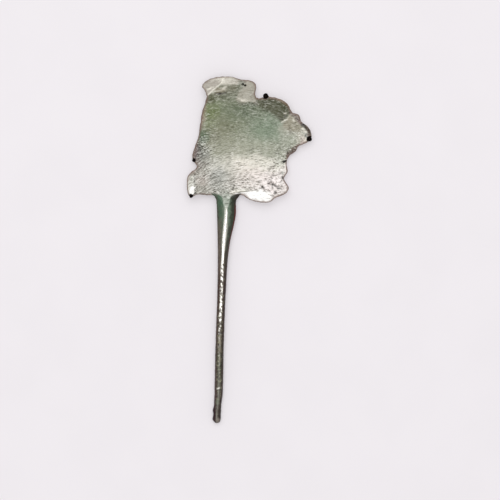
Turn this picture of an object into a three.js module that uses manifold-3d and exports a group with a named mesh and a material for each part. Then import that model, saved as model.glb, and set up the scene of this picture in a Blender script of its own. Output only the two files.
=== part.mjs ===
// A disc-headed bronze pin, hammered out of one bar, with a thin dished head whose rim has broken away.
// It lies on its back on a table, head to +Y, point to -Y and the dished face up, to +Z.
// Millimetres. The origin is at the middle of the box around the pin, on the table.

import * as THREE from "three";
import Module from "manifold-3d";
import { mergeVertices } from "three/addons/utils/BufferGeometryUtils.js";

// Driving dimensions
const HEAD_WIDTH = 54; // across what is left of the head
const HEAD_HEIGHT = 54.5; // from its lower lip to its top flap
const SHEET_THICKNESS = 1.5; // in the middle of the head
const EDGE_THICKNESS = 0.8; // at the broken edge
const THINNING_WIDTH = 9; // how far in from the edge the sheet reaches its full thickness
const DISH_DEPTH = 4.4; // how far the rim stands up above the middle of the head
const ROLL_WIDTH = 1.7; // the strip along the edge that is rolled up or down
const ROLL_HEIGHT = 1; // how far it is rolled where the table of the edge says 1
const BEND_RADIUS = 0.5; // how softly the sheet bends where the table of bends says 1
const BEND_FADE_LENGTH = 2.2; // over which a bend dies out past the ends of its line
const CRUST_RADIUS = 1.15; // of the largest lump of crust on the edge
const STEM_LENGTH = 98; // from the neck line to the point
const SHAFT_DIAMETER = 3.8; // of the round shaft, halfway down
const POINT_DIAMETER = 3.3; // just before the blunt point
const NECK_WIDTH = 8.7; // where the shaft meets the head
const NECK_DEPTH = 4.3; // the same place, seen from the side
const ROOT_LENGTH = 8; // how far the shaft's ridge runs up into the head
const SHAFT_BEHIND = 1.2; // how far the shaft's middle lies behind the sheet's at the neck
const NECK_BEND_LENGTH = 7; // below the neck line, in which the shaft turns out of the sheet's slope
const KEEL_ROUNDNESS = 0.3; // how round the ridge down the front of the neck is, as a share of its width
const POINT_BEHIND = 2.4; // how much further back it lies at the point
const REST_FLAT_DEPTH = 0.12; // taken off the places that the pin lies on

// How finely the surfaces are divided
const SPOKES = 136; // round the head
const RINGS = 12; // from the middle of the head to its edge
const SHAFT_SIDES = 20;
const SHAFT_STATIONS = 36;
const ROOT_STATIONS = 7;
const POINT_STATIONS = 4;
const OUTLINE_STEPS = 1200; // for measuring how far a place is from the edge

// Places on the head are in percent of its width, from the left, and of its height, from the bottom.
const DISH_MIDDLE = [39, 41];
const SPOKE_CENTRE = [44, 53]; // every point of the edge is in sight of this place
const NECK = [32, 4.6]; // where the shaft's own line meets the head's lower edge

// The broken edge, clockwise from the left of the neck: across %, up %, and how far the very edge is
// rolled up (plus) or down (minus), as a share of ROLL_HEIGHT.
const BROKEN_EDGE = [
  // the tongue that runs out over the neck's ridge, and the lip in the lower left corner
  [30.8, -3, 0], [27.5, 0, 0], [24.6, 3.6, 0], [20.5, 5.8, -0.1], [16, 5.9, -0.2], [7, 6.2, -0.2],
  [3.3, 3.7, -0.4], [0.8, 7, -0.2], [0, 15, -0.2], [0.6, 21, -0.3], [4.3, 25, -0.4],
  // the long left edge, rolled down
  [7.7, 27.4, -0.5], [6.5, 30.8, -0.7], [4.3, 34.4, -1], [5.9, 42.8, -1], [8.9, 51.5, -1],
  [10.8, 62.6, -0.9], [12.3, 72.2, -0.9], [14.9, 80.1, -0.8], [15.7, 85.5, -0.3],
  // the flap on top
  [13.7, 89.7, 0], [11.9, 92.4, 0], [14.3, 95.4, -0.1], [17.1, 97.5, -0.2], [25.5, 99.6, -0.2],
  [33.5, 100, -0.2], [37.6, 99.5, -0.2], [40.8, 98.2, -0.2], [52.8, 96, -0.2], [55.2, 93.6, -0.2],
  // the step down to the right shoulder, with a crust standing on the edge
  [55.1, 87.3, -0.2], [55.9, 82.7, -0.6], [60, 83.3, -0.6], [65.7, 83.9, -0.5],
  [74.5, 81.9, -0.7], [80.1, 78.5, -0.7], [84.1, 72.2, -0.6], [88.9, 69.8, -0.4], [91.3, 65.4, 0],
  // the curled end of the right lobe
  [94.5, 61.7, 0.9], [98.6, 57.1, 1.3], [100, 51.9, 0.9], [97.8, 49.1, -0.6], [94.5, 46.7, -0.3],
  // the torn edge under it, turned down, and the small notches below
  [89.2, 44.4, -1], [87.7, 41.2, -1.5], [82.1, 37.2, -1.3], [80.1, 33.2, -0.3], [80.7, 24.5, -0.2],
  [77.5, 19.2, -0.3], [81.5, 11.8, -0.2], [79.3, 7.4, -0.2],
  // the lip right of the neck
  [70.5, 3.7, -0.1], [66.9, 0.5, 0], [58.4, 0.2, 0.1], [49.6, 2.5, 0.1], [44.8, 6, 0],
  [40.3, 5.6, 0], [37, 3.4, 0], [34.2, 0, 0],
];

// Bends of the sheet. Each turns what lies left of the line from one place to the other, seen from above,
// up (plus) or down (minus) by an angle in degrees, as softly as a share of BEND_RADIUS says.
const BENDS = [
  { name: "corner flap", from: [27.5, 93.6], to: [13, 83], degrees: -30, soft: 0.7, sideways: -1 },
  { name: "top flap", from: [25, 93.4], to: [39.5, 92.5], degrees: -26, soft: 0.9, sideways: 1 },
  { name: "plate beside it", from: [40, 79.4], to: [60, 79.4], degrees: -15, soft: 1.4, sideways: 1 },
  { name: "right shoulder", from: [60, 77.5], to: [80, 71], degrees: 17, soft: 1.6, sideways: 1 },
  { name: "right lobe", from: [77, 74], to: [78, 46], degrees: -15, soft: 1.2, sideways: 1 },
  { name: "lower left lip", from: [6.3, 22], to: [6.3, 5], degrees: -17, soft: 0.6, sideways: -1 },
  { name: "lower right lip", from: [72, 6], to: [42, 9], degrees: 6, soft: 2.4, sideways: 1 },
];

// Lumps of crust on the edge: across %, up %, and size as a share of the largest.
const CRUSTS = [
  { at: [63, 84.6], size: 1 },
  { at: [98.3, 50.4], size: 0.95 },
  { at: [5.4, 33.5], size: 0.65 },
  { at: [3.4, 5], size: 0.7 },
];

// The shaft: share of its length, then its width as a share of the neck's or the shaft's, its depth the
// same way, how far its middle stands to the right of the line from neck to point, in diameters, and how
// much of a keel its front has, from 0 for a plain ellipse to 1.
const SHAFT_PROFILE = [
  { at: -0.08, width: 0.75 * NECK_WIDTH, depth: 0.24 * NECK_DEPTH, aside: 0, keel: 0.2 },
  { at: -0.035, width: 1.08 * NECK_WIDTH, depth: 0.5 * NECK_DEPTH, aside: 0.02, keel: 0.6 },
  { at: -0.008, width: 1.3 * NECK_WIDTH, depth: 0.76 * NECK_DEPTH, aside: 0.04, keel: 0.9 },
  { at: 0.003, width: 1.14 * NECK_WIDTH, depth: 0.88 * NECK_DEPTH, aside: -0.02, keel: 1 },
  { at: 0.016, width: 1.01 * NECK_WIDTH, depth: 0.96 * NECK_DEPTH, aside: -0.04, keel: 1 },
  { at: 0.035, width: 0.975 * NECK_WIDTH, depth: NECK_DEPTH, aside: -0.02, keel: 1 },
  { at: 0.07, width: 0.97 * NECK_WIDTH, depth: NECK_DEPTH, aside: 0.05, keel: 1 },
  { at: 0.13, width: 0.83 * NECK_WIDTH, depth: 0.97 * NECK_DEPTH, aside: 0, keel: 0.8 },
  { at: 0.19, width: 0.65 * NECK_WIDTH, depth: 0.94 * NECK_DEPTH, aside: -0.1, keel: 0.5 },
  { at: 0.27, width: 1.18 * SHAFT_DIAMETER, depth: 1.1 * SHAFT_DIAMETER, aside: -0.15, keel: 0.15 },
  { at: 0.4, width: SHAFT_DIAMETER, depth: SHAFT_DIAMETER, aside: -0.13, keel: 0 },
  { at: 0.65, width: 0.97 * SHAFT_DIAMETER, depth: 0.97 * SHAFT_DIAMETER, aside: -0.09, keel: 0 },
  { at: 0.88, width: 1.09 * POINT_DIAMETER, depth: 1.03 * POINT_DIAMETER, aside: 0.03, keel: 0 },
  { at: 0.915, width: 0.97 * POINT_DIAMETER, depth: 0.97 * POINT_DIAMETER, aside: -0.02, keel: 0 },
  { at: 0.945, width: 1.03 * POINT_DIAMETER, depth: 0.98 * POINT_DIAMETER, aside: -0.05, keel: 0 },
  { at: 0.965, width: 0.98 * POINT_DIAMETER, depth: 0.98 * POINT_DIAMETER, aside: -0.03, keel: 0 },
  { at: 1, width: 0.96 * POINT_DIAMETER, depth: 0.9 * POINT_DIAMETER, aside: -0.01, keel: 0 },
];
const POINT_LEAN = 4.2; // how far the point stands to the left of the neck's middle
const POINT_ROUNDING = 1.6; // length of the blunt, rounded end

const UP = new THREE.Vector3(0, 0, 1);

// A place given in percent of the head, in millimetres from the neck's middle.
function onHead([across, up]) {
  return new THREE.Vector2(
    ((across - NECK[0]) / 100) * HEAD_WIDTH,
    ((up - NECK[1]) / 100) * HEAD_HEIGHT,
  );
}

// A smooth closed line through the named places of the broken edge. Its z holds the roll of the edge.
const edgeCurve = new THREE.CatmullRomCurve3(
  BROKEN_EDGE.map(([across, up, roll]) => {
    const place = onHead([across, up]);
    return new THREE.Vector3(place.x, place.y, roll);
  }),
  true,
  "centripetal",
);
const edgeSamples = edgeCurve.getSpacedPoints(OUTLINE_STEPS);

function distanceToEdge(x, y) {
  let nearest = Infinity;
  for (const p of edgeSamples) nearest = Math.min(nearest, Math.hypot(p.x - x, p.y - y));
  return nearest;
}

// The lift of one bend: nothing on one side of its line, a slope on the other, and a soft turn between.
function bendLift(bend, x, y) {
  const start = onHead(bend.from);
  const along = onHead(bend.to).sub(start);
  const length = along.length();
  along.normalize();
  const place = new THREE.Vector2(x, y).sub(start);
  const beyond = bend.sideways * along.cross(place);
  const run = place.dot(along);
  const before = THREE.MathUtils.smoothstep(run, -BEND_FADE_LENGTH, BEND_FADE_LENGTH);
  const after = 1 - THREE.MathUtils.smoothstep(run, length - BEND_FADE_LENGTH, length + BEND_FADE_LENGTH);
  const soft = bend.soft * BEND_RADIUS;
  const ramp = soft * Math.log1p(Math.exp(beyond / soft));
  return Math.tan(THREE.MathUtils.degToRad(bend.degrees)) * ramp * before * after;
}

// The height of the middle of the sheet, without the roll of its edge.
function sheetHeight(x, y) {
  const middle = onHead(DISH_MIDDLE);
  const across = (x - middle.x) / (HEAD_WIDTH / 2);
  const up = (y - middle.y) / (HEAD_HEIGHT / 2);
  const dish = DISH_DEPTH * (across * across + up * up);
  return BENDS.reduce((height, bend) => height + bendLift(bend, x, y), dish);
}

// The head: rings of points on its two faces, closed by a strip along the broken edge.
function headGeometry() {
  const centre = onHead(SPOKE_CENTRE);
  const positions = [];
  const addPair = (x, y, roll, inward) => {
    const rolled = Math.max(0, 1 - inward / ROLL_WIDTH);
    const middle = sheetHeight(x, y) + roll * ROLL_HEIGHT * rolled * rolled;
    const full = THREE.MathUtils.smoothstep(inward, -THINNING_WIDTH / 4, THINNING_WIDTH);
    const half = THREE.MathUtils.lerp(EDGE_THICKNESS, SHEET_THICKNESS, full) / 2;
    positions.push(x, y, middle + half, x, y, middle - half);
  };
  addPair(centre.x, centre.y, 0, THINNING_WIDTH);
  const edge = edgeCurve.getSpacedPoints(SPOKES).slice(0, SPOKES);
  for (let ring = 1; ring <= RINGS; ring++) {
    const share = Math.sin((ring / RINGS) * (Math.PI / 2)) ** 1.15; // rings crowd towards the edge
    for (const p of edge) {
      const x = THREE.MathUtils.lerp(centre.x, p.x, share);
      const y = THREE.MathUtils.lerp(centre.y, p.y, share);
      addPair(x, y, p.z, ring === RINGS ? 0 : distanceToEdge(x, y));
    }
  }
  const index = [];
  const front = (ring, spoke) => (ring === 0 ? 0 : 2 * (1 + (ring - 1) * SPOKES + (spoke % SPOKES)));
  const back = (ring, spoke) => front(ring, spoke) + 1;
  for (let spoke = 0; spoke < SPOKES; spoke++) {
    index.push(front(0, 0), front(1, spoke + 1), front(1, spoke));
    index.push(back(0, 0), back(1, spoke), back(1, spoke + 1));
    for (let ring = 1; ring < RINGS; ring++) {
      const [a, b] = [front(ring, spoke), front(ring, spoke + 1)];
      const [c, d] = [front(ring + 1, spoke + 1), front(ring + 1, spoke)];
      index.push(a, b, c, a, c, d);
      index.push(a + 1, c + 1, b + 1, a + 1, d + 1, c + 1);
    }
    const [a, b] = [front(RINGS, spoke), front(RINGS, spoke + 1)];
    index.push(a, b, b + 1, a, b + 1, a + 1);
  }
  return closedGeometry(positions, index);
}

function closedGeometry(positions, index) {
  const geometry = new THREE.BufferGeometry();
  geometry.setAttribute("position", new THREE.Float32BufferAttribute(positions, 3));
  geometry.setIndex(index);
  return geometry;
}

// One value of the shaft's profile, smoothly between its named stations.
const shaftCurves = Object.fromEntries(
  ["width", "depth", "aside", "keel"].map((key) => [
    key,
    new THREE.CatmullRomCurve3(
      SHAFT_PROFILE.map((s) => new THREE.Vector3(s.at * STEM_LENGTH, s[key], 0)),
      false,
      "centripetal",
    ).getPoints(400),
  ]),
);

function shaftValue(key, along) {
  const points = shaftCurves[key];
  const after = points.findIndex((p) => p.x >= along);
  if (after <= 0) return after < 0 ? points.at(-1).y : points[0].y;
  const [a, b] = [points[after - 1], points[after]];
  return THREE.MathUtils.mapLinear(along, a.x, b.x, a.y, b.y);
}

// How high the shaft's middle lies. In the head it follows the sheet and comes out behind it, and below the
// neck line it turns level and then bends gently back towards the point.
function shaftHeight(x, along) {
  const inHead = THREE.MathUtils.clamp(-along / ROOT_LENGTH, 0, 1);
  if (along < 0) return sheetHeight(x, -along) - SHAFT_BEHIND * (1 - inHead);
  const slope = sheetHeight(x, -0.5) - sheetHeight(x, 0.5);
  const turning = Math.min(along, NECK_BEND_LENGTH);
  const rise = slope * (turning - (turning * turning) / (2 * NECK_BEND_LENGTH));
  return sheetHeight(0, 0) - SHAFT_BEHIND + rise - POINT_BEHIND * (along / STEM_LENGTH) ** 1.5;
}

// Half of a section's depth at an angle round it, as a share of the greatest: an ellipse whose front may
// rise to a keel instead.
function sectionHeight(angle, keel) {
  const round = Math.sin(angle);
  const across = Math.hypot(Math.cos(angle), KEEL_ROUNDNESS) - KEEL_ROUNDNESS;
  const keeled = 1 - across / (Math.hypot(1, KEEL_ROUNDNESS) - KEEL_ROUNDNESS);
  return round > 0 ? THREE.MathUtils.lerp(round, keeled, keel) : round;
}

// The shaft: a loft of sections from inside the head, down the neck, to the blunt point.
function shaftGeometry() {
  const alongs = [];
  for (let i = 0; i < ROOT_STATIONS; i++) alongs.push(-ROOT_LENGTH * (1 - i / ROOT_STATIONS) ** 1.4);
  for (let i = 0; i <= SHAFT_STATIONS; i++) {
    alongs.push((STEM_LENGTH - POINT_ROUNDING) * (i / SHAFT_STATIONS) ** 1.2); // crowding at the neck
  }
  for (let i = 1; i <= POINT_STATIONS; i++) {
    const turn = (i / (POINT_STATIONS + 0.4)) * (Math.PI / 2); // the last ring stays a little open
    alongs.push(STEM_LENGTH - POINT_ROUNDING * (1 - Math.sin(turn)));
  }
  const positions = [];
  for (const along of alongs) {
    const beyond = Math.max(0, along - (STEM_LENGTH - POINT_ROUNDING)) / POINT_ROUNDING;
    const round = Math.sqrt(1 - beyond * beyond);
    const x = shaftValue("aside", along) * SHAFT_DIAMETER - POINT_LEAN * (along / STEM_LENGTH);
    const z = shaftHeight(x, along);
    const halfWidth = (shaftValue("width", along) / 2) * round;
    const halfDepth = (shaftValue("depth", along) / 2) * round;
    const keel = shaftValue("keel", along);
    const withSheet = THREE.MathUtils.clamp(1 - along / NECK_BEND_LENGTH, 0, 1);
    for (let side = 0; side < SHAFT_SIDES; side++) {
      const angle = (side / SHAFT_SIDES) * 2 * Math.PI;
      const px = x + halfWidth * Math.cos(angle);
      const follow = withSheet * (sheetHeight(px, -along) - sheetHeight(x, -along));
      positions.push(px, -along, z + follow + halfDepth * sectionHeight(angle, keel));
    }
  }
  const stations = alongs.length;
  const index = [];
  const at = (station, side) => station * SHAFT_SIDES + (side % SHAFT_SIDES);
  for (let station = 0; station < stations - 1; station++) {
    for (let side = 0; side < SHAFT_SIDES; side++) {
      const [a, b] = [at(station, side), at(station, side + 1)];
      const [c, d] = [at(station + 1, side + 1), at(station + 1, side)];
      index.push(a, b, c, a, c, d);
    }
  }
  for (let side = 1; side < SHAFT_SIDES - 1; side++) {
    index.push(at(0, 0), at(0, side + 1), at(0, side));
    index.push(at(stations - 1, 0), at(stations - 1, side), at(stations - 1, side + 1));
  }
  return closedGeometry(positions, index);
}

// One lump of crust, a little flattened.
function crustGeometry({ at, size }) {
  const place = onHead(at);
  const lump = new THREE.IcosahedronGeometry(size * CRUST_RADIUS, 2);
  lump.scale(1, 1, 0.85);
  lump.translate(place.x, place.y, sheetHeight(place.x, place.y));
  return welded(lump);
}

// Only the places of the corners, with shared corners merged.
function welded(geometry) {
  geometry.deleteAttribute("normal");
  geometry.deleteAttribute("uv");
  return mergeVertices(geometry, 1e-4);
}

// Joining and cutting
const wasm = await Module();
wasm.setup();

function solidOf(geometry) {
  const vertProperties = new Float32Array(geometry.getAttribute("position").array);
  const triVerts = new Uint32Array(geometry.index.array);
  return new wasm.Manifold(new wasm.Mesh({ numProp: 3, vertProperties, triVerts }));
}

function geometryOf(solid) {
  const mesh = solid.getMesh();
  return closedGeometry(Array.from(mesh.vertProperties), Array.from(mesh.triVerts));
}

function pointsOf(geometry) {
  const position = geometry.getAttribute("position");
  return Array.from({ length: position.count }, (_, i) => {
    return new THREE.Vector3().fromBufferAttribute(position, i);
  });
}

// Centre of mass of a closed surface, from the tetrahedra between its triangles and the origin.
function centreOfMass(geometry) {
  const points = pointsOf(geometry);
  const centre = new THREE.Vector3();
  let volume = 0;
  for (let i = 0; i < geometry.index.count; i += 3) {
    const [a, b, c] = [0, 1, 2].map((k) => points[geometry.index.getX(i + k)]);
    const part = a.dot(new THREE.Vector3().crossVectors(b, c)) / 6;
    volume += part;
    centre.addScaledVector(a, part / 4).addScaledVector(b, part / 4).addScaledVector(c, part / 4);
  }
  return centre.divideScalar(volume);
}

// The plane that the pin lies on: through three of its points, under all the others, with the centre of
// mass above the triangle between the three. It starts from a triangle far above and comes down.
function restPlane(points, centre) {
  const far = 1e4;
  let corners = [0, 1, 2].map((k) => {
    const angle = (k * 2 * Math.PI) / 3;
    return new THREE.Vector3(centre.x + far * Math.cos(angle), centre.y + far * Math.sin(angle), far);
  });
  const holdsCentre = (triangle) =>
    triangle.every((p, k) => {
      const next = triangle[(k + 1) % 3];
      return (next.x - p.x) * (centre.y - p.y) - (next.y - p.y) * (centre.x - p.x) >= 0;
    });
  for (;;) {
    const plane = new THREE.Plane().setFromCoplanarPoints(...corners);
    let lowest = points[0];
    for (const p of points) {
      if (plane.distanceToPoint(p) < plane.distanceToPoint(lowest)) lowest = p;
    }
    if (plane.distanceToPoint(lowest) > -1e-5) return plane;
    const found = [0, 1, 2].map((k) => corners.with(k, lowest)).find(holdsCentre);
    if (!found) return plane;
    corners = found;
  }
}

// Lays the pin down as it comes to rest, and takes a little off the places that it lies on.
function layDown(geometry) {
  const plane = restPlane(pointsOf(geometry), centreOfMass(geometry));
  geometry.applyQuaternion(new THREE.Quaternion().setFromUnitVectors(plane.normal, UP));
  geometry.computeBoundingBox();
  geometry.translate(0, 0, -geometry.boundingBox.min.z - REST_FLAT_DEPTH);
  const table = new THREE.BoxGeometry(4 * HEAD_WIDTH, 4 * (HEAD_HEIGHT + STEM_LENGTH), HEAD_WIDTH);
  table.translate(0, 0, -HEAD_WIDTH / 2);
  const laid = geometryOf(solidOf(geometry).subtract(solidOf(welded(table))));
  laid.computeBoundingBox();
  const middle = laid.boundingBox.getCenter(new THREE.Vector3());
  laid.translate(-middle.x, -middle.y, 0);
  return laid;
}

const pieces = [headGeometry(), shaftGeometry(), ...CRUSTS.map(crustGeometry)].map(solidOf);
const pinGeometry = layDown(geometryOf(pieces.reduce((joined, piece) => joined.add(piece))));

const patinatedBronze = new THREE.MeshStandardMaterial({
  color: 0x8f9a82,
  roughness: 0.45,
  metalness: 0.6,
});
const pin = new THREE.Mesh(pinGeometry, patinatedBronze);
pin.name = "disc_headed_pin";

const model = new THREE.Group();
model.add(pin);
export default model;
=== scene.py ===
"""The look of the disc-headed pin: hammered bronze under a grey-green patina, seen from above as it lies."""

import itertools
import math

import bmesh
import bpy
import numpy as np
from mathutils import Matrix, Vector
from mathutils.kdtree import KDTree


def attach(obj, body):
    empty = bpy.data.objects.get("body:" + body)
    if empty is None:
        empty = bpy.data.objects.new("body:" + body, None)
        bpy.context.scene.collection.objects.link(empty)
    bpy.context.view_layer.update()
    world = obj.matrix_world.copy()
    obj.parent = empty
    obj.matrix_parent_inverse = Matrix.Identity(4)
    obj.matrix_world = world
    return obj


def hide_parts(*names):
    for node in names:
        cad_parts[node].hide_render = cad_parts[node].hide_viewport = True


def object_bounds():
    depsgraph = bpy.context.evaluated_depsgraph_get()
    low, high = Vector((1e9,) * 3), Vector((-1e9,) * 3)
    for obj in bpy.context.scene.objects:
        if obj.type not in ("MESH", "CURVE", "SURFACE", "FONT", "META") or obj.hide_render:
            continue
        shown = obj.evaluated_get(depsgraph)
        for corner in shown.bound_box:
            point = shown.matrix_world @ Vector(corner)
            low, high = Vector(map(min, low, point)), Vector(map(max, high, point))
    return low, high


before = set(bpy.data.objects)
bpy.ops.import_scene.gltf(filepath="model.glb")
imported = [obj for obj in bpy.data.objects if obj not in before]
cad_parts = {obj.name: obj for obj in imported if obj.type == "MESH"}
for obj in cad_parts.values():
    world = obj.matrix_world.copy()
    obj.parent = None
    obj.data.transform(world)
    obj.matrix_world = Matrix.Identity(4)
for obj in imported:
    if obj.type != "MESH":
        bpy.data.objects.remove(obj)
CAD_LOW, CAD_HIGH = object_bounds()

MM = 0.001
NODE = "disc_headed_pin"
SLOT = "patinated_bronze"

# The head in millimetres. Places on it are in percent of its width, from the left, and of its height, from
# the bottom, as in the solid's own source.
HEAD_WIDTH = 54
HEAD_HEIGHT = 54.5
HEAD_LEFT = CAD_LOW.x / MM
HEAD_TOP = CAD_HIGH.y / MM
STEM_LENGTH = 98

# How finely the surface is divided, in millimetres, and how it is smoothed
SAME_POINT = 0.001  # points that are closer than this are one
VOXEL = 0.27
SMOOTHING_ROUNDS = 5
SMOOTHING_PULL = 0.5  # how far a round draws a point towards its neighbours
SMOOTHING_PUSH = 0.52  # how far it then pushes the point back
JOIN_ROUNDS = 12
JOIN_REACH = (5.5, 5)  # how far the join of sheet and neck is evened out, across and along
JOIN_DROP = 1  # how far the middle of the join is below the head's lower edge


def on_head(across, up):
    """A place given in percent of the head, in millimetres in the pin's frame."""
    return HEAD_LEFT + across / 100 * HEAD_WIDTH, HEAD_TOP - (1 - up / 100) * HEAD_HEIGHT


NECK_X, NECK_LINE = on_head(32, 4.6)  # the neck's middle, and the head's lower edge there


def srgb(red, green, blue):
    """A colour as seen on a screen, 0 to 255, as the linear values that a shader takes."""
    shares = np.array([red, green, blue]) / 255
    linear = np.where(shares <= 0.04045, shares / 12.92, ((shares + 0.055) / 1.055) ** 2.4)
    return (*linear.tolist(), 1.0)


# Noise and soft steps

LATTICE = 32  # after how many units the noise repeats
NOISE_GAIN = 1.6  # brings the noise to about -1 to 1


def smoothstep(values, low, high):
    """0 below low, 1 above high and a soft turn between. low may be the larger of the two."""
    share = np.clip((values - low) / (high - low), 0, 1)
    return share * share * (3 - 2 * share)


def noise(points, seed):
    """Smooth noise, about -1 to 1, with features one unit across."""
    random = np.random.default_rng(seed)
    slopes = random.normal(size=(LATTICE, LATTICE, LATTICE, 3))
    slopes /= np.linalg.norm(slopes, axis=3, keepdims=True)
    cell = np.floor(points).astype(int)
    part = points - cell
    fade = part * part * part * (part * (part * 6 - 15) + 10)
    total = np.zeros(len(points))
    for corner in itertools.product((0, 1), repeat=3):
        near = (cell + corner) % LATTICE
        slope = slopes[near[:, 0], near[:, 1], near[:, 2]]
        share = np.prod(np.where(corner, fade, 1 - fade), axis=1)
        total += share * np.sum(slope * (part - corner), axis=1)
    return total * NOISE_GAIN


def stretched_noise(points, seed, size, turn=0.0):
    """Noise with features of the given size along x, y and z, turned round z by some degrees."""
    angle = math.radians(turn)
    turned = points.copy()
    turned[:, 0] = points[:, 0] * math.cos(angle) + points[:, 1] * math.sin(angle)
    turned[:, 1] = points[:, 1] * math.cos(angle) - points[:, 0] * math.sin(angle)
    return noise(turned / np.array(size), seed)


# The pin's mesh, made from the solid with a fine even skin


def fine_copy():
    """A copy of the solid with an even skin of small quads."""
    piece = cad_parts[NODE].copy()
    piece.data = piece.data.copy()
    piece.name = piece.data.name = "pin_skin"
    bpy.context.scene.collection.objects.link(piece)
    work = bmesh.new()
    work.from_mesh(piece.data)
    bmesh.ops.remove_doubles(work, verts=work.verts, dist=SAME_POINT * MM)
    work.to_mesh(piece.data)
    work.free()
    remesh = piece.modifiers.new("Even skin", "REMESH")
    remesh.mode = "VOXEL"
    remesh.voxel_size = VOXEL * MM
    depsgraph = bpy.context.evaluated_depsgraph_get()
    mesh = bpy.data.meshes.new_from_object(piece.evaluated_get(depsgraph))
    piece.modifiers.clear()
    piece.data = mesh
    return piece


def vectors_of(items, name):
    """A property of the mesh's vertices or of their normals, one row for each."""
    flat = np.empty(len(items) * 3, np.float32)
    items.foreach_get(name, flat)
    return flat.reshape(-1, 3).astype(float)


def move_points(mesh, points):
    """Puts the mesh's vertices at the given points, in millimetres."""
    mesh.vertices.foreach_set("co", (points * MM).astype(np.float32).ravel())
    mesh.update()


def smoothed(points, edges, rounds, push=SMOOTHING_PUSH):
    """The points with small steps evened out. Each round pulls in and then pushes out, to keep the volume."""
    count = np.bincount(edges.ravel(), minlength=len(points))[:, None]
    for pull in (SMOOTHING_PULL, -push) * rounds:
        total = np.zeros_like(points)
        for axis in range(3):
            total[:, axis] += np.bincount(edges[:, 0], points[edges[:, 1], axis], len(points))
            total[:, axis] += np.bincount(edges[:, 1], points[edges[:, 0], axis], len(points))
        points = points + pull * (total / count - points)
    return points


# The marks on the head, at places in percent of it and with sizes in millimetres

# Ridges, or grooves where the height is below 0: path, half the width, height, and how much paler (or darker,
# below 0) they are
# Pale lines are partly painted highlights; the groove, hollow, crease and dark lower edge are painted shade
LINES = {
    "ridge of the corner flap": (
        [(17, 85.4), (21.5, 89.6), (26, 93.2), (28.2, 95.7), (29, 98.2)], 0.34, 0.34, 0.95),
    "ridge of the top flap": ([(27, 94.2), (33, 93), (38.5, 92.4)], 0.5, 0.14, 0.2),
    "pale strip under it": ([(20.5, 87.8), (26, 88.4), (31, 89.6)], 0.45, 0.15, 0.3),
    "groove under the strip": ([(22.5, 86.4), (27, 86.3), (31.5, 86.9)], 0.4, -0.18, -0.65),
    "ledge under the plate": ([(41.5, 82), (44, 80.8), (48, 80.6)], 0.6, 0.22, 0.42),
    "fainter end of the ledge": ([(49, 80.4), (54.5, 80.2)], 0.5, 0.16, 0.25),
    "shade in the hollow under the ledge": ([(42, 78.4), (50, 78), (55, 78.2)], 0.6, -0.1, -0.3),
    "crease of the left lip": ([(6.3, 23), (6.2, 14), (6.6, 6.5)], 0.4, -0.28, -0.5),
    "crack": ([(80.5, 33.4), (76.6, 32.6)], 0.32, -0.6, -1),
    "step of the right lobe": ([(82, 68), (79.8, 65.6), (76.4, 63.4)], 0.42, 0.25, 0.2),
    "shadow of the curled edge": ([(92.9, 62), (94.6, 60.2), (96.1, 58.8), (97.6, 56.8)], 0.75, -0.15, -1.6),
    # A painted highlight inside the curl
    "light inside the curl": ([(93, 58.3), (94.2, 57.2), (95.6, 56)], 0.5, 0.15, 1.1),
    "dark lower edge": ([(6.6, 6.9), (17.3, 6.6)], 0.3, -0.05, -0.6),
    # A painted highlight, joined to the white of the lower lip
    "white streak over the neck": ([(35.5, 8.2), (40, 9), (46, 8.9)], 0.6, 0.1, 1.0),
}

# Pits and holes, darker with their depth: partly dark corrosion, partly painted shade. Where, the radius and
# the depth
PITS = {
    "hole in the plate": ((44.8, 93.9), 0.42, 1.1),
    "hole beside it": ((46.7, 92.9), 0.4, 1.1),
    "pit near the lower lip": ((60.3, 12.8), 0.45, 0.3),
    "pit over the neck": ((44.8, 15.8), 0.4, 0.22),
    "left end of the crack": ((77.7, 32.5), 0.38, 0.8),
    "right end of the crack": ((78.8, 32.9), 0.34, 0.8),
}
PIT_WALL = (1.3, 0.4)  # where a pit's wall starts and ends, as shares of the radius
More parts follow.
